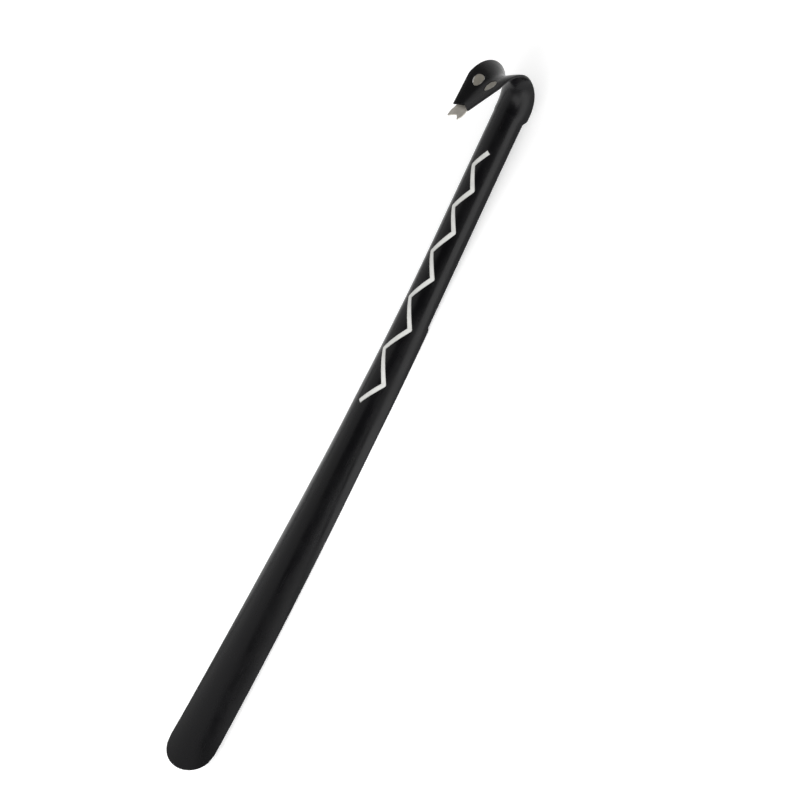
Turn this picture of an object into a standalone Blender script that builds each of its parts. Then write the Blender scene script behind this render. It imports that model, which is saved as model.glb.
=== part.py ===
"""A long shoehorn shaped like a snake.

One thin black shell makes the body: a wide shallow blade, a narrower and rounder handle, and a hook whose
end tapers into the snake's head. The hook bends towards the convex side, so the hollow side of the shell is
the outside of the hook and the top of the head. A light zigzag is let into the handle, two light ovals into
the head as eyes, and a light forked tongue is fixed under the head and sticks out of the mouth.

The part lies on its two long edges with its convex side up. +X runs from the blade to the hook, +Z is up,
and the origin is at the middle of the bounding box's underside.
"""

import math

import bmesh
import bpy

MM = 0.001

# Overall sizes.
LENGTH = 699 * MM  # from the blade's tip to the far side of the hook
REST_SINK = 0.25 * MM  # how much the lowest stretch of the edges is dressed flat
TOUCH_GAP = 0.3 * MM  # between an inlay and the shell

# Handle and blade. Each row: distance from the blade's tip, height of the crest above the table,
# and the radius that the strip is bent to.
SHAFT = (
    (0 * MM, 17.3 * MM, 99.0 * MM),
    (47 * MM, 15.0 * MM, 65.0 * MM),
    (137 * MM, 12.4 * MM, 43.5 * MM),
    (227 * MM, 12.0 * MM, 31.0 * MM),
    (317 * MM, 12.7 * MM, 24.0 * MM),
    (381 * MM, 13.6 * MM, 21.8 * MM),
    (435 * MM, 15.1 * MM, 19.7 * MM),
    (498 * MM, 18.3 * MM, 17.6 * MM),
    (595 * MM, 24.4 * MM, 17.0 * MM),
    (646 * MM, 27.4 * MM, 17.0 * MM),
    (662 * MM, 28.25 * MM, 17.0 * MM),
)
# Half the width of the flat strip before it is bent.
STRIP_AT_TIP = 26.7 * MM
STRIP_BELOW_STEP = 25.4 * MM
STRIP_OF_HANDLE = 23.7 * MM
STEP_AT = 453 * MM
STEP_RUN = 4 * MM
THICKNESS = 2.2 * MM
TIP_THICKNESS = 1.6 * MM
THINNING_RUN = 160 * MM
TIP_ROUNDING = 26 * MM
TIP_EXPONENT = 2.1

# Hook: its two edges follow one arc in side view.
HOOK_RADIUS = 36.6 * MM
HOOK_CENTRE_HEIGHT = 48.2 * MM
HOOK_TURN = math.radians(152.8)
LOBE_RUN = 5 * MM  # over which the edges step out into the hook's lobes
# Each row: share of the turn, half-width, depth from edge to crest.
HOOK = (
    (0.00, 18.1 * MM, 16.4 * MM),
    (0.20, 18.8 * MM, 14.8 * MM),
    (0.40, 18.6 * MM, 12.4 * MM),
    (0.60, 18.9 * MM, 10.2 * MM),
    (0.80, 18.8 * MM, 8.3 * MM),
    (1.00, 18.5 * MM, 6.8 * MM),
)

# Head: it runs straight from the end of the hook's arc to the mouth.
HEAD_LENGTH = 35.7 * MM
MOUTH_HALF_WIDTH = 8.5 * MM
MOUTH_DEPTH = 3.8 * MM
MOUTH_NOTCH = 5.6 * MM

# Eyes, measured from the start of the head and from its middle.
EYE_ALONG = 0.8 * MM
EYE_ACROSS = 7.9 * MM
EYE_LENGTH = 14.5 * MM
EYE_WIDTH = 8.5 * MM
EYE_SINK = 0.4 * MM

# Tongue. Each row: distance past the mouth's corners, inner and outer reach from its middle.
TONGUE = (
    (-16.0 * MM, 0.0, 8.2 * MM),
    (-12.0 * MM, 0.0, 7.6 * MM),
    (-8.0 * MM, 0.0, 7.0 * MM),
    (-4.0 * MM, 0.0, 6.6 * MM),
    (0.0, 0.0, 6.6 * MM),
    (3.5 * MM, 0.0, 6.9 * MM),
    (6.5 * MM, 0.0, 6.9 * MM),
    (9.5 * MM, 3.0 * MM, 6.3 * MM),
    (12.0 * MM, 4.9 * MM, 5.8 * MM),
)
TONGUE_THICKNESS = 1.3 * MM
TONGUE_RISE = 1.6 * MM  # how far its tips curve back up past the mouth

# Zigzag: distance from the blade's tip, and distance round the shell from the crest.
ZIGZAG = (
    (622 * MM, -4.4 * MM),
    (606 * MM, 5.2 * MM),
    (584.5 * MM, -5.7 * MM),
    (564.5 * MM, 5.9 * MM),
    (543 * MM, -6.5 * MM),
    (519.5 * MM, 6.7 * MM),
    (497 * MM, -6.7 * MM),
    (474 * MM, 7.5 * MM),
    (447 * MM, -7.9 * MM),
    (422 * MM, 8.8 * MM),
    (392 * MM, -8.6 * MM),
    (369.5 * MM, 7.1 * MM),
)
ZIGZAG_WIDTH = 4.2 * MM
ZIGZAG_DEPTH = 1.0 * MM

# How finely the pieces are divided.
COLUMNS = 12
TIP_ROWS = 6
SHAFT_ROWS = 36
LOBE_ROWS = 4
HOOK_ROWS = 20
HEAD_ROWS = 9
EYE_RINGS = 3
EYE_SPOKES = 28
ZIGZAG_CUTS = 6
ZIGZAG_COLUMNS = 3
TONGUE_COLUMNS = 6
SHARP_ANGLE = math.radians(35)
CUT_PAST = 2 * MM  # how far a cutter reaches past the sheet
NUDGE = 1e-4  # step of v for the slope of a section

SHAFT_END = SHAFT[-1][0]
HOOK_END = SHAFT_END + HOOK_RADIUS * HOOK_TURN
PATH_END = HOOK_END + HEAD_LENGTH


def smooth_step(t):
    t = min(max(t, 0.0), 1.0)
    return t * t * (3 - 2 * t)


def mix(a, b, t):
    return a + (b - a) * t


def read_table(table, at, column):
    """Smooth curve through a table's rows: cubic, with the slope of the neighbouring rows at each row."""
    rows = [row[0] for row in table]
    last = len(rows) - 1
    i = max(k for k in range(last) if rows[k] <= max(at, rows[0]))
    slopes = []
    for k in (i, i + 1):
        before, after = max(k - 1, 0), min(k + 1, last)
        slopes.append((table[after][column] - table[before][column]) / (rows[after] - rows[before]))
    run = rows[i + 1] - rows[i]
    t = (at - rows[i]) / run
    start, end = table[i][column], table[i + 1][column]
    bend_a = slopes[0] * run - (end - start)
    bend_b = (end - start) - slopes[1] * run
    return mix(start, end, t) + t * (1 - t) * (bend_a * (1 - t) + bend_b * t)


def strip_half_width(along):
    blade = mix(STRIP_AT_TIP, STRIP_BELOW_STEP, along / STEP_AT)
    return mix(blade, STRIP_OF_HANDLE, smooth_step((along - STEP_AT) / STEP_RUN))


def shaft_section(along):
    """Crest point, crest direction, half-width, depth, flare and thickness of the straight part."""
    radius = read_table(SHAFT, along, 2)
    angle = strip_half_width(along) / radius
    half_width = radius * math.sin(angle)
    depth = radius * (1 - math.cos(angle))
    height = read_table(SHAFT, along, 1) - REST_SINK
    lobe = smooth_step((along - SHAFT_END + LOBE_RUN) / LOBE_RUN)
    half_width = mix(half_width, HOOK[0][1], lobe)
    depth = mix(depth, height - (HOOK_CENTRE_HEIGHT - HOOK_RADIUS), lobe)
    thickness = mix(TIP_THICKNESS, THICKNESS, smooth_step(along / THINNING_RUN))
    return (along, height), (0.0, 1.0), half_width, depth, 0.0, thickness


def hook_section(turned):
    """The same on the hook's arc; turned is the angle from the shaft."""
    share = turned / HOOK_TURN
    half_width = read_table(HOOK, share, 1)
    depth = read_table(HOOK, share, 2)
    inward = (-math.sin(turned), math.cos(turned))
    to_crest = HOOK_RADIUS - depth
    crest = (SHAFT_END - inward[0] * to_crest, HOOK_CENTRE_HEIGHT - inward[1] * to_crest)
    return crest, inward, half_width, depth, smooth_step(share), THICKNESS


def head_section(run):
    """The same on the straight head; run is the distance from the end of the arc."""
    share = run / HEAD_LENGTH
    _, inward, start_width, start_depth, flare, thickness = hook_section(HOOK_TURN)
    half_width = mix(start_width, MOUTH_HALF_WIDTH, share)
    depth = mix(start_depth, MOUTH_DEPTH, share)
    forward = (math.cos(HOOK_TURN), math.sin(HOOK_TURN))
    reach = HOOK_RADIUS - depth
    crest = (
        SHAFT_END - inward[0] * reach + forward[0] * run,
        HOOK_CENTRE_HEIGHT - inward[1] * reach + forward[1] * run,
    )
    return crest, inward, half_width, depth, flare, thickness


def section_at(path):
    if path <= SHAFT_END:
        return shaft_section(path)
    if path <= HOOK_END:
        return hook_section((path - SHAFT_END) / HOOK_RADIUS)
    return head_section(path - HOOK_END)


def outline(section, v):
    """Across and down from the crest on the convex side, at v from -1 to 1: an arc that turns into a bell."""
    _, _, half_width, depth, flare, thickness = section
    radius = (half_width**2 + depth**2) / (2 * depth)
    angle = math.atan2(half_width, radius - depth) * v
    bell_depth = depth - thickness
    across = mix(radius * math.sin(angle), half_width * v, flare)
    down = mix(radius * (1 - math.cos(angle)), bell_depth * (1 - math.cos(math.pi * v)) / 2, flare)
    return across, down


def inner_share(section):
    """How far the hollow side reaches, so that the edge of the sheet lies flat on a table."""
    _, _, half_width, depth, flare, thickness = section
    radius = (half_width**2 + depth**2) / (2 * depth)
    angle = math.atan2(half_width, radius - depth)
    inner = math.acos(min(1.0, (radius - depth) / (radius - thickness)))
    return mix(inner / angle, 1.0, flare)


def surface_point(path, v, inset=0.0):
    """A point at v on the section at path, inset below the convex side along the sheet's normal."""
    section = section_at(path)
    crest, inward = section[0], section[1]
    across, down = outline(section, v)
    more, less = outline(section, v + NUDGE), outline(section, v - NUDGE)
    run, drop = more[0] - less[0], more[1] - less[1]
    length = math.hypot(run, drop)
    across -= inset * drop / length
    down += inset * run / length
    x = crest[0] - inward[0] * down - LENGTH / 2
    z = crest[1] - inward[1] * down
    return (x, across, max(z, 0.0))


def path_point(path, round_shell, inset=0.0):
    """The same, with the place across given as a distance round the shell from the crest."""
    section = section_at(path)
    _, _, half_width, depth, _, _ = section
    radius = (half_width**2 + depth**2) / (2 * depth)
    return surface_point(path, round_shell / (radius * math.atan2(half_width, radius - depth)), inset)


def column_shares(count):
    """From -1 to 1, closer together near the edges."""
    return [math.sin(math.pi / 2 * (2 * i / count - 1)) for i in range(count + 1)]


def tip_start(v):
    """Where the blade's rounded tip begins at v."""
    return TIP_ROUNDING * (1 - (1 - abs(v) ** TIP_EXPONENT) ** (1 / TIP_EXPONENT))


def mouth_end(v):
    """Where the notched mouth ends at v."""
    return PATH_END - MOUTH_NOTCH * (1 - abs(v))


def row_paths():
    """Functions of v that give each row's place on the path, from the blade's tip to the mouth."""
    tip_run = 2 * TIP_ROUNDING
    rows = [lambda v, t=i / TIP_ROWS: mix(tip_start(v), tip_run, t) for i in range(TIP_ROWS)]
    places = [mix(tip_run, SHAFT_END - LOBE_RUN, i / SHAFT_ROWS) for i in range(SHAFT_ROWS + 1)]
    places = [place for place in places if abs(place - STEP_AT - STEP_RUN / 2) > 2 * STEP_RUN]
    places += [STEP_AT + STEP_RUN * t for t in (-1.0, 0.0, 0.5, 1.0, 2.0)]
    places += [SHAFT_END - LOBE_RUN * i / LOBE_ROWS for i in range(1, LOBE_ROWS)]
    places += [mix(SHAFT_END, HOOK_END, i / HOOK_ROWS) for i in range(HOOK_ROWS + 1)]
    rows += [lambda v, p=place: p for place in sorted(places)]
    rows += [lambda v, t=i / HEAD_ROWS: mix(HOOK_END, mouth_end(v), t) for i in range(1, HEAD_ROWS + 1)]
    return rows


def solid_from_grids(name, outer, inner):
    """A closed solid from two grids of points of the same size, the first one facing out."""
    bm = bmesh.new()
    grids = [[[bm.verts.new(point) for point in row] for row in grid] for grid in (outer, inner)]
    rows, columns = len(outer), len(outer[0])

    def face(*corners):
        bm.faces.new(corners)

    for i in range(rows - 1):
        for j in range(columns - 1):
            for grid in grids:
                face(grid[i][j], grid[i + 1][j], grid[i + 1][j + 1], grid[i][j + 1])
        for j in (0, columns - 1):
            face(grids[0][i][j], grids[0][i + 1][j], grids[1][i + 1][j], grids[1][i][j])
    for j in range(columns - 1):
        for i in (0, rows - 1):
            face(grids[0][i][j], grids[0][i][j + 1], grids[1][i][j + 1], grids[1][i][j])
    return finished(name, bm)


def finished(name, bm):
    bmesh.ops.recalc_face_normals(bm, faces=bm.faces)
    mesh = bpy.data.meshes.new(name)
    bm.to_mesh(mesh)
    bm.free()
    mesh.shade_smooth()
    mesh.set_sharp_from_angle(angle=SHARP_ANGLE)
    obj = bpy.data.objects.new(name, mesh)
    bpy.context.scene.collection.objects.link(obj)
    return obj


def make_shell():
    columns = column_shares(COLUMNS)
    outer, inner = [], []
    for row in row_paths():
        outer.append([surface_point(row(v), v) for v in columns])
        line = []
        for v in columns:
            section = section_at(row(v))
            line.append(surface_point(row(v), v * inner_share(section), section[5]))
        inner.append(line)
    return solid_from_grids("body_shell", outer, inner)


def oval_plug(name, side, grow, top, bottom):
    """An oval piece of the shell at one eye, between two depths below the convex side."""
    section = section_at(HOOK_END + EYE_ALONG)
    centre_v = side * EYE_ACROSS / section[2]
    bm = bmesh.new()
    layers = []
    for inset in (top, bottom):
        centre = bm.verts.new(surface_point(HOOK_END + EYE_ALONG, centre_v, inset))
        layer = [[centre]]
        for ring in range(1, EYE_RINGS + 1):
            points = []
            for k in range(EYE_SPOKES):
                angle = 2 * math.pi * k / EYE_SPOKES
                along = (EYE_LENGTH / 2 + grow) * ring / EYE_RINGS * math.cos(angle)
                across = (EYE_WIDTH / 2 + grow) * ring / EYE_RINGS * math.sin(angle)
                place = (HOOK_END + EYE_ALONG + along, centre_v + across / section[2], inset)
                points.append(bm.verts.new(surface_point(*place)))
            layer.append(points)
        layers.append(layer)
    for layer in layers:
        for k in range(EYE_SPOKES):
            after = (k + 1) % EYE_SPOKES
            bm.faces.new((layer[0][0], layer[1][k], layer[1][after]))
            for ring in range(1, EYE_RINGS):
                near, far = layer[ring], layer[ring + 1]
                bm.faces.new((near[k], far[k], far[after], near[after]))
    for k in range(EYE_SPOKES):
        after = (k + 1) % EYE_SPOKES
        top_rim, bottom_rim = layers[0][-1], layers[1][-1]
        bm.faces.new((top_rim[k], bottom_rim[k], bottom_rim[after], top_rim[after]))
    return finished(name, bm)


def mitres(points, half_width):
    """For each point of a zigzag, the step from it to the strip's edge, square at the two ends."""
    steps = []
    for i, point in enumerate(points):
        before = points[max(i - 1, 0)]
        after = points[min(i + 1, len(points) - 1)]
        normals = []
        for start, end in ((before, point), (point, after)):
            run, rise = end[0] - start[0], end[1] - start[1]
            length = math.hypot(run, rise)
            if length > 0:
                normals.append((-rise / length, run / length))
        total = (sum(n[0] for n in normals), sum(n[1] for n in normals))
        square = total[0] ** 2 + total[1] ** 2
        reach = half_width * 2 / square if len(normals) == 2 else half_width
        steps.append((total[0] * reach, total[1] * reach))
    return steps


def zigzag_strip(name, half_width, top, bottom):
    """The zigzag as a strip laid round the shell, between two depths below the convex side."""
    spare = half_width - ZIGZAG_WIDTH / 2
    points = [list(point) for point in ZIGZAG]
    for end, neighbour in ((0, 1), (-1, -2)):
        run = points[end][0] - points[neighbour][0]
        rise = points[end][1] - points[neighbour][1]
        length = math.hypot(run, rise)
        points[end][0] += spare * run / length
        points[end][1] += spare * rise / length
    steps = mitres(points, half_width)
    rails = []
    for k in range(len(points) - 1):
        for i in range(ZIGZAG_CUTS + (k == len(points) - 2)):
            t = i / ZIGZAG_CUTS
            centre = [mix(points[k][axis], points[k + 1][axis], t) for axis in (0, 1)]
            step = [mix(steps[k][axis], steps[k + 1][axis], t) for axis in (0, 1)]
            rails.append((centre, step))
    shares = [2 * i / ZIGZAG_COLUMNS - 1 for i in range(ZIGZAG_COLUMNS + 1)]
    grids = []
    for inset in (top, bottom):
        grid = []
        for centre, step in rails:
            places = [(centre[0] + step[0] * share, centre[1] + step[1] * share) for share in shares]
            grid.append([path_point(*place, inset) for place in places])
        grids.append(grid)
    return solid_from_grids(name, *grids)


def under_head(past, across, below):
    """A point below the head's underside, past the mouth's corners or short of them."""
    section = head_section(HEAD_LENGTH + min(past, 0.0))
    crest, inward, half_width = section[0], section[1], section[2]
    _, down = outline(section, max(min(across / half_width, 1.0), -1.0))
    run = max(past, 0.0)
    lower = below - down - TONGUE_RISE * (run / TONGUE[-1][0]) ** 2
    x = crest[0] + inward[0] * lower + math.cos(HOOK_TURN) * run - LENGTH / 2
    z = crest[1] + inward[1] * lower + math.sin(HOOK_TURN) * run
    return (x, across, z)


def make_tongue():
    """A forked strip that follows the head's underside and sticks out past the mouth."""
    last = len(TONGUE) - 1
    bm = bmesh.new()
    layers = []
    for below in (TOUCH_GAP, TOUCH_GAP + TONGUE_THICKNESS):
        layer = []
        for past, inner, outer in TONGUE:
            spans = [mix(inner, outer, j / TONGUE_COLUMNS) for j in range(TONGUE_COLUMNS + 1)]
            one = [bm.verts.new(under_head(past, span, below)) for span in spans]
            start = one[0] if inner == 0 else bm.verts.new(under_head(past, -inner, below))
            other = [bm.verts.new(under_head(past, -span, below)) for span in spans[1:]]
            layer.append((one, [start] + other))
        layers.append(layer)
    top, bottom = layers
    for half in (0, 1):
        for i in range(last):
            for layer in layers:
                near, far = layer[i][half], layer[i + 1][half]
                for j in range(TONGUE_COLUMNS):
                    bm.faces.new((near[j], far[j], far[j + 1], near[j + 1]))
            sides = (0, -1) if TONGUE[i + 1][1] > 0 else (-1,)
            for j in sides:
                near, far = top[i][half], top[i + 1][half]
                bm.faces.new((near[j], far[j], bottom[i + 1][half][j], bottom[i][half][j]))
        for i in (0, last):
            upper, lower = top[i][half], bottom[i][half]
            for j in range(TONGUE_COLUMNS):
                bm.faces.new((upper[j], upper[j + 1], lower[j + 1], lower[j]))
    return finished("forked_tongue", bm)


def cut(body, cutter):
    cutter.hide_render = True
    cutter.display_type = "WIRE"
    modifier = body.modifiers.new(cutter.name, "BOOLEAN")
    modifier.operation = "DIFFERENCE"
    modifier.object = cutter


def material(name, color, roughness):
    made = bpy.data.materials.new(name)
    made.use_nodes = True
    shader = made.node_tree.nodes["Principled BSDF"]
    shader.inputs["Base Color"].default_value = (*color, 1.0)
    shader.inputs["Roughness"].default_value = roughness
    shader.inputs["Metallic"].default_value = 0.0
    return made


def main():
    for old in list(bpy.data.objects):
        bpy.data.objects.remove(old)
    black = material("satin_black_plastic", (0.012, 0.012, 0.013), 0.32)
    pale = material("pale_grey_plastic", (0.56, 0.56, 0.54), 0.45)
    warm = material("warm_grey_plastic", (0.26, 0.24, 0.20), 0.45)
    light = material("light_grey_plastic", (0.32, 0.30, 0.27), 0.50)

    shell = make_shell()
    shell.data.materials.append(black)

    groove_half_width = ZIGZAG_WIDTH / 2 + TOUCH_GAP
    cut(shell, zigzag_strip("zigzag_groove", groove_half_width, -CUT_PAST, ZIGZAG_DEPTH + TOUCH_GAP))
    zigzag = zigzag_strip("zigzag_inlay", ZIGZAG_WIDTH / 2, 0.0, ZIGZAG_DEPTH)
    zigzag.data.materials.append(pale)

    for name, side in (("left_eye_inlay", -1), ("right_eye_inlay", 1)):
        cut(shell, oval_plug(name + "_window", side, TOUCH_GAP, -CUT_PAST, THICKNESS + CUT_PAST))
        eye = oval_plug(name, side, 0.0, 0.0, THICKNESS - EYE_SINK)
        eye.data.materials.append(warm)

    tongue = make_tongue()
    tongue.data.materials.append(light)


main()
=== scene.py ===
"""Looks of the snake-shaped long shoehorn: finer pieces, materials, light and camera.

Each piece takes the place of a CAD node. It is built again from the sizes that the CAD model has,
with many more rows, rounded edges and chamfered grooves. The part lies on its two long edges:
+X runs from the blade to the hook, +Z is up.
"""

import math

import bmesh
import bpy
from mathutils import Matrix, Vector


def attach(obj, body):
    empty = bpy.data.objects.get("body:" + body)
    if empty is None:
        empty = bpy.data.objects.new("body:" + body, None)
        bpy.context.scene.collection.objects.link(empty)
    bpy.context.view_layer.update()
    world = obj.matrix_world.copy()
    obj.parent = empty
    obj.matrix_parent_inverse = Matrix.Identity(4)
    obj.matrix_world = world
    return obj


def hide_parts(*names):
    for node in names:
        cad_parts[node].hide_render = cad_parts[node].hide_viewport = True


MM = 0.001

# Overall sizes, as in the CAD model.
LENGTH = 699 * MM
REST_SINK = 0.25 * MM
GAP = 0.3 * MM  # between an inlay and the shell

# Handle and blade: distance from the blade's tip, crest height and bend radius.
SHAFT = (
    (0 * MM, 17.3 * MM, 99.0 * MM),
    (47 * MM, 15.0 * MM, 65.0 * MM),
    (137 * MM, 12.4 * MM, 43.5 * MM),
    (227 * MM, 12.0 * MM, 31.0 * MM),
    (317 * MM, 12.7 * MM, 24.0 * MM),
    (381 * MM, 13.6 * MM, 21.8 * MM),
    (435 * MM, 15.1 * MM, 19.7 * MM),
    (498 * MM, 18.3 * MM, 17.6 * MM),
    (595 * MM, 24.4 * MM, 17.0 * MM),
    (646 * MM, 27.4 * MM, 17.0 * MM),
    (662 * MM, 28.25 * MM, 17.0 * MM),
)
STRIP_AT_TIP = 26.7 * MM
STRIP_BELOW_STEP = 25.4 * MM
STRIP_OF_HANDLE = 23.7 * MM
STEP_AT = 453 * MM
STEP_RUN = 4 * MM
THICKNESS = 2.2 * MM
TIP_THICKNESS = 1.6 * MM
THINNING_RUN = 160 * MM
TIP_ROUNDING = 26 * MM
TIP_EXPONENT = 2.1

# Hook: share of its turn, half-width, depth from edge to crest.
HOOK_RADIUS = 36.6 * MM
HOOK_CENTRE_HEIGHT = 48.2 * MM
HOOK_TURN = math.radians(152.8)
LOBE_RUN = 5 * MM
HOOK = (
    (0.00, 18.1 * MM, 16.4 * MM),
    (0.20, 18.8 * MM, 14.8 * MM),
    (0.40, 18.6 * MM, 12.4 * MM),
    (0.60, 18.9 * MM, 10.2 * MM),
    (0.80, 18.8 * MM, 8.3 * MM),
    (1.00, 18.5 * MM, 6.8 * MM),
)

# Head and eyes.
HEAD_LENGTH = 35.7 * MM
MOUTH_HALF_WIDTH = 8.5 * MM
MOUTH_DEPTH = 3.8 * MM
MOUTH_NOTCH = 5.6 * MM
EYE_ALONG = 0.8 * MM
EYE_ACROSS = 7.9 * MM
EYE_LENGTH = 14.5 * MM
EYE_WIDTH = 8.5 * MM
EYE_SINK = 0.4 * MM  # from an eye's back to the hollow side of the sheet

# Tongue: distance past the mouth's corners, inner and outer reach of each half.
TONGUE = (
    (-16.0 * MM, 0.0, 8.2 * MM),
    (-12.0 * MM, 0.0, 7.6 * MM),
    (-8.0 * MM, 0.0, 7.0 * MM),
    (-4.0 * MM, 0.0, 6.6 * MM),
    (0.0, 0.0, 6.6 * MM),
    (3.5 * MM, 0.0, 6.9 * MM),
    (6.5 * MM, 0.0, 6.9 * MM),
    (9.5 * MM, 3.0 * MM, 6.3 * MM),
    (12.0 * MM, 4.9 * MM, 5.8 * MM),
)
TONGUE_THICKNESS = 1.3 * MM
TONGUE_RISE = 1.6 * MM

# Zigzag: distance from the blade's tip, and distance round the shell from the crest.
ZIGZAG = (
    (622 * MM, -4.4 * MM),
    (606 * MM, 5.2 * MM),
    (584.5 * MM, -5.7 * MM),
    (564.5 * MM, 5.9 * MM),
    (543 * MM, -6.5 * MM),
    (519.5 * MM, 6.7 * MM),
    (497 * MM, -6.7 * MM),
    (474 * MM, 7.5 * MM),
    (447 * MM, -7.9 * MM),
    (422 * MM, 8.8 * MM),
    (392 * MM, -8.6 * MM),
    (369.5 * MM, 7.1 * MM),
)
ZIGZAG_WIDTH = 4.2 * MM
ZIGZAG_DEPTH = 1.0 * MM
CORNER_RUN = 1.1 * MM  # rounding of the zigzag's outer corners
CORNER_CUT = 0.35 * MM

# How finely the pieces are divided, and how their edges are softened.
COLUMNS = 28
TIP_ROWS = 14
SHAFT_ROWS = 150
LOBE_ROWS = 8
HOOK_ROWS = 56
HEAD_ROWS = 22
RIM_ROUNDING = 0.55 * MM
GROOVE_CHAMFER = 0.2 * MM
INLAY_ROUNDING = 0.22 * MM
CUT_PAST = 2 * MM  # how far a window's cutter stands proud of the convex side
STEP_SHARES = (-0.4, 0.0, 0.25, 0.5, 0.75, 1.0, 1.4)  # rows at the step, as shares of its run
NUDGE = 1e-4  # step in v for the slope of a section
SLIVER = 2e-6  # edges shorter than this are left over from the cuts
SHARP_ANGLE = math.radians(38)
# Edges sharper than this are marked: for wear on the shell, for painted highlight and painted
# shade on the inlays.
WEAR_AND_PAINTED_LIGHT_ANGLE = math.radians(16)

SHAFT_END = SHAFT[-1][0]
HOOK_END = SHAFT_END + HOOK_RADIUS * HOOK_TURN
PATH_END = HOOK_END + HEAD_LENGTH


# ---------------------------------------------------------------- the shell's surface


def smooth_step(t):
    t = min(max(t, 0.0), 1.0)
    return t * t * (3 - 2 * t)


def mix(a, b, t):
    return a + (b - a) * t


def read_table(table, at, column):
    """Smooth cubic curve through a table's rows, with the neighbouring rows' slope at each row."""
    rows = [row[0] for row in table]
    last = len(rows) - 1
    i = max(k for k in range(last) if rows[k] <= max(at, rows[0]))
    slopes = []
    for k in (i, i + 1):
        before, after = max(k - 1, 0), min(k + 1, last)
        rise = table[after][column] - table[before][column]
        slopes.append(rise / (rows[after] - rows[before]))
    run = rows[i + 1] - rows[i]
    t = (at - rows[i]) / run
    start, end = table[i][column], table[i + 1][column]
    bend_a = slopes[0] * run - (end - start)
    bend_b = (end - start) - slopes[1] * run
    return mix(start, end, t) + t * (1 - t) * (bend_a * (1 - t) + bend_b * t)


def strip_half_width(along):
    blade = mix(STRIP_AT_TIP, STRIP_BELOW_STEP, along / STEP_AT)
    return mix(blade, STRIP_OF_HANDLE, smooth_step((along - STEP_AT) / STEP_RUN))


def shaft_section(along):
    """Crest point, crest direction, half-width, depth, flare and thickness of the shaft."""
    radius = read_table(SHAFT, along, 2)
    angle = strip_half_width(along) / radius
    half_width = radius * math.sin(angle)
    depth = radius * (1 - math.cos(angle))
    height = read_table(SHAFT, along, 1) - REST_SINK
    lobe = smooth_step((along - SHAFT_END + LOBE_RUN) / LOBE_RUN)
    half_width = mix(half_width, HOOK[0][1], lobe)
    depth = mix(depth, height - (HOOK_CENTRE_HEIGHT - HOOK_RADIUS), lobe)
    thickness = mix(TIP_THICKNESS, THICKNESS, smooth_step(along / THINNING_RUN))
    return (along, height), (0.0, 1.0), half_width, depth, 0.0, thickness


def hook_section(turned):
    """The same on the hook's arc; turned is the angle from the shaft."""
    share = turned / HOOK_TURN
    half_width = read_table(HOOK, share, 1)
    depth = read_table(HOOK, share, 2)
    inward = (-math.sin(turned), math.cos(turned))
    to_crest = HOOK_RADIUS - depth
    crest = (SHAFT_END - inward[0] * to_crest, HOOK_CENTRE_HEIGHT - inward[1] * to_crest)
    return crest, inward, half_width, depth, smooth_step(share), THICKNESS


def head_section(run):
    """The same on the straight head; run is the distance from the end of the arc."""
    share = run / HEAD_LENGTH
    _, inward, start_width, start_depth, flare, thickness = hook_section(HOOK_TURN)
    half_width = mix(start_width, MOUTH_HALF_WIDTH, share)
    depth = mix(start_depth, MOUTH_DEPTH, share)
    forward = (math.cos(HOOK_TURN), math.sin(HOOK_TURN))
    reach = HOOK_RADIUS - depth
    crest = (
        SHAFT_END - inward[0] * reach + forward[0] * run,
        HOOK_CENTRE_HEIGHT - inward[1] * reach + forward[1] * run,
    )
    return crest, inward, half_width, depth, flare, thickness


def section_at(path):
    if path <= SHAFT_END:
        return shaft_section(path)
    if path <= HOOK_END:
        return hook_section((path - SHAFT_END) / HOOK_RADIUS)
    return head_section(path - HOOK_END)


def outline(section, v):
    """Across and down from the crest on the convex side, at v from -1 to 1.

    The curve is an arc, and turns into a bell as the flare goes from 0 to 1.
    """
    _, _, half_width, depth, flare, thickness = section
    radius = (half_width**2 + depth**2) / (2 * depth)
    angle = math.atan2(half_width, radius - depth) * v
    bell_depth = depth - thickness
    across = mix(radius * math.sin(angle), half_width * v, flare)
    down = mix(radius * (1 - math.cos(angle)), bell_depth * (1 - math.cos(math.pi * v)) / 2, flare)
    return across, down


def inner_share(section):
    """How far the hollow side reaches, so that the edge of the sheet lies flat on a table."""
    _, _, half_width, depth, flare, thickness = section
    radius = (half_width**2 + depth**2) / (2 * depth)
    angle = math.atan2(half_width, radius - depth)
    inner = math.acos(min(1.0, (radius - depth) / (radius - thickness)))
    return mix(inner / angle, 1.0, flare)


def surface_point(path, v, inset=0.0):
    """A point at v on the section at path, inset below the convex side along its normal."""
    section = section_at(path)
    crest, inward = section[0], section[1]
    across, down = outline(section, v)
    more, less = outline(section, v + NUDGE), outline(section, v - NUDGE)
    run, drop = more[0] - less[0], more[1] - less[1]
    length = math.hypot(run, drop)
    across -= inset * drop / length
    down += inset * run / length
    x = crest[0] - inward[0] * down - LENGTH / 2
    z = crest[1] - inward[1] * down
    return (x, across, max(z, 0.0))


def path_point(path, round_shell, inset=0.0):
    """The same, with the place across given as a distance round the shell from the crest."""
    section = section_at(path)
    _, _, half_width, depth, _, _ = section
    radius = (half_width**2 + depth**2) / (2 * depth)
    half_arc = radius * math.atan2(half_width, radius - depth)
    return surface_point(path, round_shell / half_arc, inset)


# ---------------------------------------------------------------- mesh helpers


def finished(name, bm):
    bmesh.ops.recalc_face_normals(bm, faces=bm.faces)
    mesh = bpy.data.meshes.new(name)
    bm.to_mesh(mesh)
    bm.free()
    obj = bpy.data.objects.new(name, mesh)
    bpy.context.scene.collection.objects.link(obj)
    return obj


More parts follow.
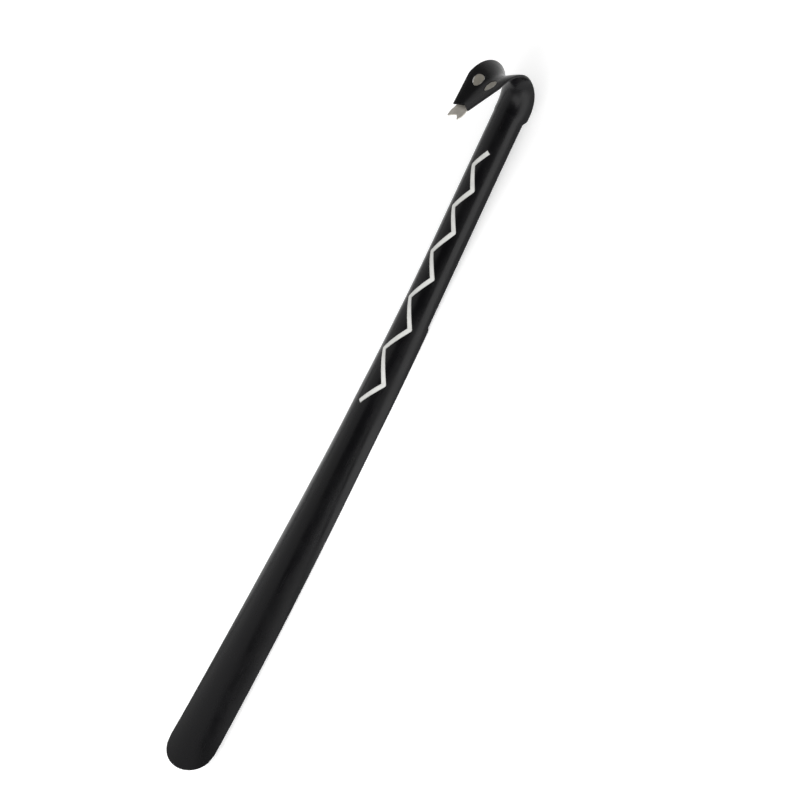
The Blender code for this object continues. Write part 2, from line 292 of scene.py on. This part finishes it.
def solid_from_layers(name, layers):
    """A closed solid from grids of points of one size, stacked from its top to its bottom."""
    bm = bmesh.new()
    grids = [[[bm.verts.new(point) for point in row] for row in grid] for grid in layers]
    rows, columns = len(layers[0]), len(layers[0][0])

    def face(*corners):
        bm.faces.new(corners)

    for grid in (grids[0], grids[-1]):
        for i in range(rows - 1):
            for j in range(columns - 1):
                face(grid[i][j], grid[i + 1][j], grid[i + 1][j + 1], grid[i][j + 1])
    for upper, lower in zip(grids, grids[1:]):
        for i in range(rows - 1):
            for j in (0, columns - 1):
                face(upper[i][j], upper[i + 1][j], lower[i + 1][j], lower[i][j])
        for j in range(columns - 1):
            for i in (0, rows - 1):
                face(upper[i][j], upper[i][j + 1], lower[i][j + 1], lower[i][j])
    return finished(name, bm)


def round_edges(obj, width, segments=3):
    bevel = obj.modifiers.new("rounded_edges", "BEVEL")
    bevel.width = width
    bevel.segments = segments
    bevel.limit_method = "ANGLE"
    bevel.angle_limit = SHARP_ANGLE
    bevel.use_clamp_overlap = False


def cut(body, cutter):
    modifier = body.modifiers.new(cutter.name, "BOOLEAN")
    modifier.operation = "DIFFERENCE"
    modifier.object = cutter


def settle(obj, cutters=()):
    """Applies the modifiers, removes the cutters, cleans the mesh and marks its sharp edges.

    Sharp edges are 1 in the attribute edge: wear on the shell, painted highlight and painted shade
    on the inlays. Faces with many corners are split first, because the slivers inside them are
    only found once they are split.
    """
    graph = bpy.context.evaluated_depsgraph_get()
    mesh = bpy.data.meshes.new_from_object(obj.evaluated_get(graph))
    obj.modifiers.clear()
    obj.data = mesh
    for cutter in cutters:
        bpy.data.objects.remove(cutter)
    bm = bmesh.new()
    bm.from_mesh(mesh)
    many_sided = [face for face in bm.faces if len(face.verts) > 4]
    bmesh.ops.triangulate(bm, faces=many_sided)
    bmesh.ops.dissolve_degenerate(bm, dist=SLIVER, edges=bm.edges)
    # Marks sharp edges: wear on the shell, painted highlight and painted shade on the inlays.
    edge = bm.verts.layers.float.new("edge")
    for vert in bm.verts:
        angles = [link.calc_face_angle(0.0) for link in vert.link_edges]
        vert[edge] = float(any(angle > WEAR_AND_PAINTED_LIGHT_ANGLE for angle in angles))
    bm.to_mesh(mesh)
    bm.free()
    mesh.shade_smooth()
    mesh.set_sharp_from_angle(angle=SHARP_ANGLE)
    weighted = obj.modifiers.new("weighted_normals", "WEIGHTED_NORMAL")
    weighted.keep_sharp = True
    return obj


# ---------------------------------------------------------------- pieces


def row_paths():
    """Functions of v that give each row's place on the path, from the blade's tip to the mouth."""
    tip_run = 2 * TIP_ROUNDING

    def tip_start(v):
        return TIP_ROUNDING * (1 - (1 - abs(v) ** TIP_EXPONENT) ** (1 / TIP_EXPONENT))

    def mouth_end(v):
        return PATH_END - MOUTH_NOTCH * (1 - abs(v))

    rows = [lambda v, t=i / TIP_ROWS: mix(tip_start(v), tip_run, t) for i in range(TIP_ROWS)]
    places = [mix(tip_run, SHAFT_END - LOBE_RUN, i / SHAFT_ROWS) for i in range(SHAFT_ROWS + 1)]
    places = [place for place in places if abs(place - STEP_AT - STEP_RUN / 2) > STEP_RUN]
    places += [STEP_AT + STEP_RUN * share for share in STEP_SHARES]
    places += [SHAFT_END - LOBE_RUN * i / LOBE_ROWS for i in range(1, LOBE_ROWS)]
    places += [mix(SHAFT_END, HOOK_END, i / HOOK_ROWS) for i in range(HOOK_ROWS + 1)]
    rows += [lambda v, p=place: p for place in sorted(places)]
    shares = [i / HEAD_ROWS for i in range(1, HEAD_ROWS + 1)]
    rows += [lambda v, t=share: mix(HOOK_END, mouth_end(v), t) for share in shares]
    return rows


def make_shell():
    shares = [2 * i / COLUMNS - 1 for i in range(COLUMNS + 1)]
    outer, inner = [], []
    for row in row_paths():
        outer.append([surface_point(row(v), v) for v in shares])
        line = []
        for v in shares:
            section = section_at(row(v))
            line.append(surface_point(row(v), v * inner_share(section), section[5]))
        inner.append(line)
    shell = solid_from_layers("shoehorn_shell", (outer, inner))
    round_edges(shell, RIM_ROUNDING)
    return shell


def mitres(points, half_width):
    """For each point of a zigzag, the step from it to the strip's edge, square at the two ends."""
    steps = []
    for i, point in enumerate(points):
        before = points[max(i - 1, 0)]
        after = points[min(i + 1, len(points) - 1)]
        normals = []
        for start, end in ((before, point), (point, after)):
            run, rise = end[0] - start[0], end[1] - start[1]
            length = math.hypot(run, rise)
            if length > 0:
                normals.append((-rise / length, run / length))
        total = (sum(n[0] for n in normals), sum(n[1] for n in normals))
        square = total[0] ** 2 + total[1] ** 2
        reach = half_width * 2 / square if len(normals) == 2 else half_width
        steps.append((total[0] * reach, total[1] * reach))
    return steps


def outer_side(before, corner, after):
    """Which side of a zigzag's corner is the outer one: 1 or -1, as mitres counts them."""
    run_in, rise_in = corner[0] - before[0], corner[1] - before[1]
    run_out, rise_out = after[0] - corner[0], after[1] - corner[1]
    return -math.copysign(1, run_in * rise_out - rise_in * run_out)


def zigzag_layer(half_width, inset, cuts=10, columns=4):
    """A grid of points over the zigzag, at one depth below the convex side."""
    spare = half_width - ZIGZAG_WIDTH / 2
    points = [list(point) for point in ZIGZAG]
    for end, neighbour in ((0, 1), (-1, -2)):
        run = points[end][0] - points[neighbour][0]
        rise = points[end][1] - points[neighbour][1]
        length = math.hypot(run, rise)
        points[end][0] += spare * run / length
        points[end][1] += spare * rise / length
    steps = mitres(points, half_width)
    shares = [2 * j / columns - 1 for j in range(columns + 1)]
    last = len(points) - 1
    grid = []
    for k in range(last):
        near = CORNER_RUN / math.dist(points[k], points[k + 1])
        parts = [0.0, near, *(i / cuts for i in range(1, cuts)), 1 - near]
        if k == last - 1:
            parts.append(1.0)
        for part in parts:
            centre = [mix(points[k][axis], points[k + 1][axis], part) for axis in (0, 1)]
            step = [mix(steps[k][axis], steps[k + 1][axis], part) for axis in (0, 1)]
            reaches = list(shares)
            if part == 0 and k > 0:
                side = outer_side(*points[k - 1:k + 2])
                reaches[-1 if side > 0 else 0] *= 1 - CORNER_CUT / math.hypot(*step)
            places = [[c + s * reach for c, s in zip(centre, step)] for reach in reaches]
            grid.append([path_point(*place, inset) for place in places])
    return grid


def make_zigzag():
    half_width = ZIGZAG_WIDTH / 2
    layers = [zigzag_layer(half_width, inset) for inset in (0.0, ZIGZAG_DEPTH)]
    zigzag = solid_from_layers("zigzag_strip", layers)
    round_edges(zigzag, INLAY_ROUNDING, 2)
    return zigzag


def zigzag_groove():
    half_width = ZIGZAG_WIDTH / 2 + GAP
    wide = half_width + GROOVE_CHAMFER
    layers = (
        zigzag_layer(wide + GROOVE_CHAMFER, -GROOVE_CHAMFER),
        zigzag_layer(half_width, GROOVE_CHAMFER),
        zigzag_layer(half_width, ZIGZAG_DEPTH + GAP),
    )
    return solid_from_layers("zigzag_groove", layers)


def oval_layer(side, grow, inset, rings=6, spokes=64):
    """Rings of points over one eye, from its centre out, at one depth below the convex side."""
    centre = HOOK_END + EYE_ALONG
    half_width = section_at(centre)[2]
    centre_v = side * EYE_ACROSS / half_width
    layer = [[surface_point(centre, centre_v, inset)]]
    for ring in range(1, rings + 1):
        share = ring / rings
        points = []
        for k in range(spokes):
            angle = 2 * math.pi * k / spokes
            along = (EYE_LENGTH / 2 + grow) * share * math.cos(angle)
            across = (EYE_WIDTH / 2 + grow) * share * math.sin(angle)
            points.append(surface_point(centre + along, centre_v + across / half_width, inset))
        layer.append(points)
    return layer


def oval_solid(name, layers):
    bm = bmesh.new()
    made = [[[bm.verts.new(point) for point in ring] for ring in layer] for layer in layers]
    spokes = len(made[0][-1])
    for layer in (made[0], made[-1]):
        for k in range(spokes):
            after = (k + 1) % spokes
            bm.faces.new((layer[0][0], layer[1][k], layer[1][after]))
            for near, far in zip(layer[1:], layer[2:]):
                bm.faces.new((near[k], far[k], far[after], near[after]))
    for upper, lower in zip(made, made[1:]):
        for k in range(spokes):
            after = (k + 1) % spokes
            bm.faces.new((upper[-1][k], lower[-1][k], lower[-1][after], upper[-1][after]))
    for layer in made[1:-1]:
        for ring in layer[:-1]:
            for vert in ring:
                bm.verts.remove(vert)
    return finished(name, bm)


def make_eye(name, side):
    layers = (oval_layer(side, 0.0, 0.0), oval_layer(side, 0.0, THICKNESS - EYE_SINK))
    eye = oval_solid(name, layers)
    round_edges(eye, INLAY_ROUNDING)
    return eye


def eye_window(name, side):
    grow = GAP + GROOVE_CHAMFER
    layers = (
        oval_layer(side, GAP, -CUT_PAST),
        oval_layer(side, GAP, THICKNESS - GROOVE_CHAMFER),
        oval_layer(side, grow + GROOVE_CHAMFER, THICKNESS + GROOVE_CHAMFER),
    )
    return oval_solid(name, layers)


def under_head(past, across, below):
    """A point below the head's underside, past the mouth's corners or short of them."""
    section = head_section(HEAD_LENGTH + min(past, 0.0))
    crest, inward, half_width = section[0], section[1], section[2]
    _, down = outline(section, max(min(across / half_width, 1.0), -1.0))
    run = max(past, 0.0)
    lower = below - down - TONGUE_RISE * (run / TONGUE[-1][0]) ** 2
    x = crest[0] + inward[0] * lower + math.cos(HOOK_TURN) * run - LENGTH / 2
    z = crest[1] + inward[1] * lower + math.sin(HOOK_TURN) * run
    return (x, across, z)


def tongue_rows(parts=4):
    """The tongue's rows with smooth ones in between, each with its inner and outer reach."""
    rows = []
    for k in range(len(TONGUE) - 1):
        for i in range(parts):
            past = mix(TONGUE[k][0], TONGUE[k + 1][0], i / parts)
            inner = mix(TONGUE[k][1], TONGUE[k + 1][1], i / parts)
            rows.append((past, inner, read_table(TONGUE, past, 2)))
    return rows + [TONGUE[-1]]


def make_tongue(columns=9):
    """A forked strip that follows the head's underside and sticks out past the mouth."""
    table = tongue_rows()
    last = len(table) - 1
    bm = bmesh.new()
    layers = []
    for below in (GAP, GAP + TONGUE_THICKNESS):
        layer = []
        for past, inner, outer in table:
            spans = [mix(inner, outer, j / columns) for j in range(columns + 1)]
            one = [bm.verts.new(under_head(past, span, below)) for span in spans]
            start = one[0] if inner == 0 else bm.verts.new(under_head(past, -inner, below))
            other = [bm.verts.new(under_head(past, -span, below)) for span in spans[1:]]
            layer.append((one, [start] + other))
        layers.append(layer)
    top, bottom = layers
    for half in (0, 1):
        for i in range(last):
            for layer in layers:
                near, far = layer[i][half], layer[i + 1][half]
                for j in range(columns):
                    bm.faces.new((near[j], far[j], far[j + 1], near[j + 1]))
            sides = (0, -1) if table[i + 1][1] > 0 else (-1,)
            for j in sides:
                near, far = top[i][half], top[i + 1][half]
                bm.faces.new((near[j], far[j], bottom[i + 1][half][j], bottom[i][half][j]))
        for i in (0, last):
            upper, lower = top[i][half], bottom[i][half]
            for j in range(columns):
                bm.faces.new((upper[j], upper[j + 1], lower[j + 1], lower[j]))
    tongue = finished("forked_tongue_strip", bm)
    round_edges(tongue, INLAY_ROUNDING, 2)
    return tongue


# ---------------------------------------------------------------- materials

# Colours are linear. The shell's tones go from its darkest to its lightest.
SHELL_DARK = (0.0012, 0.0012, 0.0015)
SHELL_PALE = (0.0024, 0.0023, 0.0029)
SHELL_RUBBED = (0.007, 0.007, 0.008)
SHELL_SCRATCHED = (0.009, 0.009, 0.010)
SHELL_DUST = (0.016, 0.015, 0.014)
SHELL_SMOOTH, SHELL_ROUGH = 0.19, 0.34  # its roughness, before scuffs and rubbing
SHELL_SPECULAR = 0.17
INLAYS = {
    "pale_grey_plastic": {
        "pale": (0.62, 0.62, 0.60),
        "dark": (0.53, 0.53, 0.51),
        # painted shade: a darker tone along the zigzag's edges, where the groove shades it
        "edge": (0.44, 0.44, 0.42),
        "roughness": 0.5,
        "grain_strength": 0.12,
    },
    "warm_grey_plastic": {
        "pale": (0.235, 0.22, 0.185),
        "dark": (0.17, 0.157, 0.132),
        # painted highlight: a much lighter tone along the eyes' rims
        "edge": (0.62, 0.61, 0.56),
        "roughness": 0.45,
        "grain_strength": 0.12,
    },
    "light_grey_plastic": {
        "pale": (0.42, 0.395, 0.355),
        "dark": (0.32, 0.30, 0.265),
        # painted highlight: a lighter tone along the tongue's edges
        "edge": (0.52, 0.51, 0.46),
        "roughness": 0.55,
        "grain_strength": 0.15,
    },
}
ROUGHNESS_SPREAD = 0.06
TABLE_DARK = (0.90, 0.90, 0.90)
TABLE_PALE = (0.92, 0.92, 0.92)
TABLE_GLOW = 0.3


class Nodes:
    """A Principled material and short ways to add nodes to it."""

    def __init__(self, name):
        self.material = bpy.data.materials.new(name)
        self.material.use_nodes = True
        self.tree = self.material.node_tree
        self.shader = self.tree.nodes["Principled BSDF"]
        self.place = self.add("ShaderNodeTexCoord").outputs["Object"]

    def add(self, kind, **values):
        node = self.tree.nodes.new(kind)
        for key, value in values.items():
            setattr(node, key, value)
        return node

    def link(self, source, target):
        self.tree.links.new(source, target)

    def scaled(self, scale):
        mapping = self.add("ShaderNodeMapping")
        mapping.inputs["Scale"].default_value = scale
        self.link(self.place, mapping.inputs["Vector"])
        return mapping.outputs["Vector"]

    def noise(self, scale, detail=3.0, stretch=(1, 1, 1), distortion=0.0):
        node = self.add("ShaderNodeTexNoise")
        node.inputs["Scale"].default_value = scale
        node.inputs["Detail"].default_value = detail
        node.inputs["Distortion"].default_value = distortion
        self.link(self.scaled(stretch), node.inputs["Vector"])
        return node.outputs["Fac"]

    def mapped(self, source, low, high, to_low, to_high):
        """The source with its range from low to high moved to that from to_low to to_high."""
        node = self.add("ShaderNodeMapRange")
        node.inputs["From Min"].default_value = low
        node.inputs["From Max"].default_value = high
        node.inputs["To Min"].default_value = to_low
        node.inputs["To Max"].default_value = to_high
        self.link(source, node.inputs["Value"])
        return node.outputs["Result"]

    def math(self, operation, a, b):
        node = self.add("ShaderNodeMath", operation=operation)
        for socket, value in zip(node.inputs, (a, b)):
            if isinstance(value, (int, float)):
                socket.default_value = value
            else:
                self.link(value, socket)
        return node.outputs["Value"]

    def blended(self, factor, first, second):
        node = self.add("ShaderNodeMix", data_type="RGBA")
        self.link(factor, node.inputs["Factor"])
        sockets = [s for s in node.inputs if s.type == "RGBA"]
        for socket, value in zip(sockets, (first, second)):
            if isinstance(value, tuple):
                socket.default_value = (*value, 1.0)
            else:
                self.link(value, socket)
        return [s for s in node.outputs if s.type == "RGBA"][0]

    def bump(self, height, strength, distance, onto=None):
        """A normal bent by height, on top of the normal onto if there is one."""
        node = self.add("ShaderNodeBump")
        node.inputs["Strength"].default_value = strength
        node.inputs["Distance"].default_value = distance
        self.link(height, node.inputs["Height"])
        if onto is not None:
            self.link(onto, node.inputs["Normal"])
        return node.outputs["Normal"]

    def set(self, **values):
        """Sets or links the shader's sockets, with an underscore for each space in their names."""
        for name, value in values.items():
            socket = self.shader.inputs[name.replace("_", " ")]
            if isinstance(value, (int, float)):
                socket.default_value = value
            elif isinstance(value, tuple):
                socket.default_value = (*value, 1.0)
            else:
                self.link(value, socket)


def shell_material():
    """Satin black moulded plastic: mould grain, flow marks, hairline scratches, wear on the edges.
    """
    made = Nodes("satin_black_plastic")
    grain = made.noise(scale=1500, detail=2.0)
    flow = made.noise(scale=14, detail=4.0, stretch=(0.25, 1.0, 1.0), distortion=0.6)
    handling = made.noise(scale=60, detail=5.0, stretch=(0.5, 1.0, 1.0))
    hairlines = made.noise(scale=900, detail=2.0, stretch=(0.02, 1.0, 1.0), distortion=0.2)
    specks = made.noise(scale=420, detail=2.0)
    edges_for_wear_and_painted_light = made.add("ShaderNodeAttribute", attribute_name="edge").outputs["Fac"]
    patchy = made.mapped(handling, 0.42, 0.62, 0.15, 1.0)
    edge_wear_and_painted_light = made.math("MULTIPLY", edges_for_wear_and_painted_light, patchy)
    tone = made.mapped(flow, 0.3, 0.7, 0.0, 1.0)
    colour = made.blended(tone, SHELL_DARK, SHELL_PALE)
    dusty = made.math("MULTIPLY", made.mapped(specks, 0.70, 0.76, 0.0, 0.6), patchy)
    colour = made.blended(dusty, colour, SHELL_DUST)
    scratched = made.mapped(hairlines, 0.68, 0.80, 0.0, 0.5)
    colour = made.blended(scratched, colour, SHELL_SCRATCHED)
    colour = made.blended(edge_wear_and_painted_light, colour, SHELL_RUBBED)
    made.set(Base_Color=colour)
    base = made.mapped(handling, 0.3, 0.7, SHELL_SMOOTH, SHELL_ROUGH)
    scuffed = made.math("ADD", base, made.mapped(hairlines, 0.66, 0.80, 0.0, 0.12))
    made.set(Roughness=made.math("SUBTRACT", scuffed, made.math("MULTIPLY", edge_wear_and_painted_light, 0.06)))
    normal = made.bump(grain, strength=0.22, distance=0.0001)
    normal = made.bump(hairlines, strength=0.12, distance=0.00008, onto=normal)
    normal = made.bump(flow, strength=0.4, distance=0.0008, onto=normal)
    made.set(Normal=normal, Specular_IOR_Level=SHELL_SPECULAR)
    return made.material


def inlay_material(name, pale, dark, edge, roughness, grain_strength):
    """Matt light plastic: slight mottling, fine grain, and patchy painted light along its edges, a
    painted highlight on the eyes and the tongue and painted shade on the zigzag.
    """
    made = Nodes(name)
    mottling = made.noise(scale=180, detail=4.0)
    cloud = made.noise(scale=45, detail=3.0)
    grain = made.noise(scale=3000, detail=2.0)
    edges_for_wear_and_painted_light = made.add("ShaderNodeAttribute", attribute_name="edge").outputs["Fac"]
    tone = made.mapped(made.math("ADD", mottling, cloud), 0.75, 1.25, 0.0, 1.0)
    colour = made.blended(tone, dark, pale)
    # Painted light along the sharp edges: a lighter edge tone is a painted highlight, a darker one
    # is painted shade.
    edge_wear_and_painted_light = made.math("MULTIPLY", edges_for_wear_and_painted_light, made.mapped(mottling, 0.35, 0.65, 0.25, 0.8))
    made.set(Base_Color=made.blended(edge_wear_and_painted_light, colour, edge))
    smooth, rough = roughness - ROUGHNESS_SPREAD, roughness + ROUGHNESS_SPREAD
    made.set(Roughness=made.mapped(mottling, 0.3, 0.7, smooth, rough))
    normal = made.bump(grain, strength=grain_strength, distance=0.00005)
    made.set(Normal=normal, Specular_IOR_Level=0.4)
    return made.material


def floor_material():
    """A matt white table that gives off a little light, so that the ground comes out white."""
    made = Nodes("pale_table")
    cloud = made.noise(scale=3, detail=3.0)
    grain = made.noise(scale=900, detail=2.0)
    made.set(Base_Color=made.blended(cloud, TABLE_DARK, TABLE_PALE))
    normal = made.bump(grain, strength=0.05, distance=0.0001)
    made.set(Roughness=0.9, Normal=normal, Specular_IOR_Level=0.2)
    made.set(Emission_Color=(1.0, 1.0, 1.0), Emission_Strength=TABLE_GLOW)
    return made.material


# ---------------------------------------------------------------- studio

VIEW_TILT = math.radians(31.85)  # of the camera from straight above, towards the -Y side
FRAME_WIDTH = 0.7216  # metres across the picture
LOOK_AT = Vector((0.0371, -0.0170, -0.0108))
SIDEWAYS_SHARE = 0.89185  # how much of the picture's rightward direction runs across the part
ALONG_SHARE = 0.45233  # and how much along it
CAMERA_DISTANCE = 3.0
CAMERA_REACH = 50.0
PANEL_DISTANCE = 2.6
ROOM_LOW, ROOM_HIGH = 0.2, 0.95  # sines of the elevations between which the room darkens
ROOM_LOW_STRENGTH, ROOM_HIGH_STRENGTH = 0.55, 0.12
FLOOR_HALF_WIDTH = 12.0
FLOOR_DROP = 0.0001  # keeps the floor clear of the part's own edges


def make_camera():
    back = Vector((0.0, -math.sin(VIEW_TILT), math.cos(VIEW_TILT)))
    sideways = Vector((0.0, -math.cos(VIEW_TILT), -math.sin(VIEW_TILT)))
    along = Vector((1.0, 0.0, 0.0))
    right = (ALONG_SHARE * along + SIDEWAYS_SHARE * sideways).normalized()
    up = back.cross(right)
    data = bpy.data.cameras.new("camera")
    data.type = "ORTHO"
    data.ortho_scale = FRAME_WIDTH
    data.clip_end = CAMERA_REACH
    camera = bpy.data.objects.new("camera", data)
    rotation = Matrix((right, up, back)).transposed().to_4x4()
    camera.matrix_world = Matrix.Translation(LOOK_AT + back * CAMERA_DISTANCE) @ rotation
    bpy.context.scene.collection.objects.link(camera)
    bpy.context.scene.camera = camera


def panel(name, size, radiance, place, turn):
    """An area light as bright as a surface of that radiance."""
    data = bpy.data.lights.new(name, "AREA")
    data.shape = "RECTANGLE"
    data.size, data.size_y = size
    data.energy = radiance * math.pi * size[0] * size[1]
    light = bpy.data.objects.new(name, data)
    light.location = place
    light.rotation_euler = turn
    bpy.context.scene.collection.objects.link(light)


def side_panel(name, first, last, radiance, length, along=0.0):
    """A long panel beside the part that spans two angles, first to last.

    The angles are in degrees from straight above, positive on the +Y side.
    """
    middle = math.radians(first + last) / 2
    height = 2 * PANEL_DISTANCE * math.tan(math.radians(last - first) / 2)
    place = (along, PANEL_DISTANCE * math.sin(middle), PANEL_DISTANCE * math.cos(middle))
    panel(name, (length, height), radiance, place, (-middle, 0.0, 0.0))


def make_room():
    """A room that is darker overhead than near the horizon, and white below the floor."""
    world = bpy.data.worlds.new("room")
    world.use_nodes = True
    tree = world.node_tree
    place = tree.nodes.new("ShaderNodeTexCoord")
    split = tree.nodes.new("ShaderNodeSeparateXYZ")
    shade = tree.nodes.new("ShaderNodeMapRange")
    shade.inputs["From Min"].default_value = ROOM_LOW
    shade.inputs["From Max"].default_value = ROOM_HIGH
    shade.inputs["To Min"].default_value = ROOM_LOW_STRENGTH
    shade.inputs["To Max"].default_value = ROOM_HIGH_STRENGTH
    background = tree.nodes["Background"]
    background.inputs["Color"].default_value = (1.0, 1.0, 1.0, 1.0)
    tree.links.new(place.outputs["Generated"], split.inputs["Vector"])
    tree.links.new(split.outputs["Z"], shade.inputs["Value"])
    below = tree.nodes.new("ShaderNodeMath")
    below.operation = "LESS_THAN"
    below.inputs[1].default_value = 0.0
    total = tree.nodes.new("ShaderNodeMath")
    tree.links.new(split.outputs["Z"], below.inputs[0])
    tree.links.new(shade.outputs["Result"], total.inputs[0])
    tree.links.new(below.outputs["Value"], total.inputs[1])
    tree.links.new(total.outputs["Value"], background.inputs["Strength"])
    return world


def make_studio():
    floor = bpy.data.objects.new("floor", bpy.data.meshes.new("floor"))
    bm = bmesh.new()
    bmesh.ops.create_grid(bm, x_segments=8, y_segments=8, size=FLOOR_HALF_WIDTH)
    bm.to_mesh(floor.data)
    bm.free()
    floor.location.z = -FLOOR_DROP
    floor.data.materials.append(floor_material())
    bpy.context.scene.collection.objects.link(floor)

    bpy.context.scene.world = make_room()
    side_panel("back_panel", first=18, last=80, radiance=0.85, length=8.0)
    side_panel("front_panel", first=-88, last=-51, radiance=3.0, length=5.5, along=-1.5)
    flat_turn = (0.0, 0.0, math.radians(-68.7))
    panel("blade_panel", size=(1.1, 1.0), radiance=3.0, place=(-0.68, -0.40, 0.9), turn=flat_turn)
    bpy.context.scene.view_settings.view_transform = "Standard"


# ---------------------------------------------------------------- scene


def show(piece, node, material):
    """Gives a piece its material and puts it in the place of a CAD node."""
    piece.data.materials.clear()
    piece.data.materials.append(material)
    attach(piece, "root")
    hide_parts(node)


def make_pieces():
    """All five pieces, each in the place of its CAD node."""
    eyes = (("left_eye_inlay", "left_eye", -1), ("right_eye_inlay", "right_eye", 1))

    shell = make_shell()
    cutters = [zigzag_groove()]
    cutters += [eye_window(name + "_window", side) for _, name, side in eyes]
    for cutter in cutters:
        cut(shell, cutter)
    show(settle(shell, cutters), "body_shell", shell_material())

    pale, warm, light = (inlay_material(name, **look) for name, look in INLAYS.items())
    show(settle(make_zigzag()), "zigzag_inlay", pale)
    for node, name, side in eyes:
        show(settle(make_eye(name, side)), node, warm)
    show(settle(make_tongue()), "forked_tongue", light)


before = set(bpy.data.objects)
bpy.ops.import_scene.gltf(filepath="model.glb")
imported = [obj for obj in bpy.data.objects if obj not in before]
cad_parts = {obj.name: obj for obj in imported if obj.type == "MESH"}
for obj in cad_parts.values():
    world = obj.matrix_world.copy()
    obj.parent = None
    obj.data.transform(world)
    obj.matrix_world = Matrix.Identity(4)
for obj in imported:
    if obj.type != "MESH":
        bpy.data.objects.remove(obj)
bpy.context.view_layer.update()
make_pieces()
make_camera()
make_studio()
